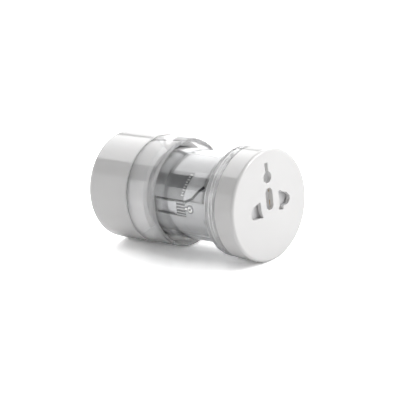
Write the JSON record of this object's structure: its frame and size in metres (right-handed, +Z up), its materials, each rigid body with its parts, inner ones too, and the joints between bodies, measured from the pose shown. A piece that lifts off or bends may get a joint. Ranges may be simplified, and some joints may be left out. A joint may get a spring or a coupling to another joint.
{
  "type": "universal travel adapter",
  "caption": "Round travel adapter lying on its side, with a multi-standard socket face, a clear waist and a telescoping cup that covers its sliding plug pins.",
  "frame": {"origin": "bottom centre of the bounding box, on the surface that the adapter lies on", "axes": "+Y along the adapter's axis from the socket face to the pin end, +Z up through the keyhole, +X to the right seen from the socket face"},
  "size_m": [0.0588, 0.1026, 0.0588],
  "materials": {
    "white_shell": "polished white moulding",
    "clear_shell": "clear polished moulding",
    "inner_white": "smooth inner moulding",
    "inner_grey": "fine matte moulding",
    "shutter_grey": "fine matte moulding",
    "carriage_dark": "glass-filled moulding",
    "sleeve_black": "satin insulation",
    "slider_white": "ribbed satin moulding",
    "pin_metal": "nickel plate",
    "contact_brass": "stamped sheet",
    "bus_steel": "tinned strip",
    "screw_steel": "zinc plate",
    "spring_steel": "drawn wire",
    "fuse_glass": "clear tube"
  },
  "bodies": {
    "head": {"face_cover": "white_shell", "shutter_springs": "spring_steel", "contact_carrier": "inner_grey", "line_contact": "contact_brass", "neutral_contact": "contact_brass", "earth_contact": "contact_brass", "fuse_tube": "fuse_glass", "fuse_caps": "screw_steel", "head_screws": "screw_steel", "clear_ring": "clear_shell", "clear_barrel": "clear_shell", "inner_liner": "inner_white", "line_bus": "bus_steel", "neutral_bus": "bus_steel", "earth_bus": "contact_brass", "bus_rivets": "bus_steel", "pin_guide_plate": "inner_grey", "stop_ring": "inner_white"},
    "shutter": {"shutter": "shutter_grey"},
    "uk_set": {"uk_carriage": "carriage_dark", "uk_line_pin": "pin_metal", "uk_neutral_pin": "pin_metal", "uk_earth_pin": "pin_metal", "uk_pin_sleeves": "sleeve_black", "uk_button": "slider_white"},
    "eu_set": {"eu_carriage": "carriage_dark", "eu_line_pin": "pin_metal", "eu_neutral_pin": "pin_metal", "eu_pin_sleeves": "sleeve_black", "eu_button": "slider_white"},
    "us_set": {"us_carriage": "carriage_dark", "us_button": "slider_white"},
    "line_swivel": {"line_blade": "pin_metal", "line_rotor": "sleeve_black"},
    "neutral_swivel": {"neutral_blade": "pin_metal", "neutral_rotor": "sleeve_black"},
    "sleeve": {"guide_bush": "white_shell", "clear_collar": "clear_shell", "rear_cup": "white_shell"}
  },
  "joints": [
    {"name": "sleeve_slide", "type": "slide", "parent": "head", "child": "sleeve", "axis": [0, -1, 0], "range_m": [0, 0.0315]},
    {"name": "uk_slide", "type": "slide", "parent": "head", "child": "uk_set", "axis": [0, 1, 0], "range_m": [0, 0.0227]},
    {"name": "eu_slide", "type": "slide", "parent": "head", "child": "eu_set", "axis": [0, 1, 0], "range_m": [0, 0.019]},
    {"name": "us_slide", "type": "slide", "parent": "head", "child": "us_set", "axis": [0, 1, 0], "range_m": [0, 0.0175]},
    {"name": "line_swivel_turn", "type": "hinge", "parent": "us_set", "child": "line_swivel", "pos_m": [-0.00635, 0, 0.0364], "axis": [0, -1, 0], "range_deg": [0, 30]},
    {"name": "neutral_swivel_turn", "type": "hinge", "parent": "us_set", "child": "neutral_swivel", "pos_m": [0.00635, 0, 0.0364], "axis": [0, -1, 0], "range_deg": [-30, 0]},
    {"name": "shutter_slide", "type": "slide", "parent": "head", "child": "shutter", "axis": [0, 0, -1], "range_m": [0, 0.0108], "stiffness_N_per_m": 40, "springref_m": -0.004, "deforming": ["shutter_springs"]}
  ],
  "couplings": [
    {"joint": "neutral_swivel_turn", "follows": "line_swivel_turn", "ratio": -1}
  ]
}
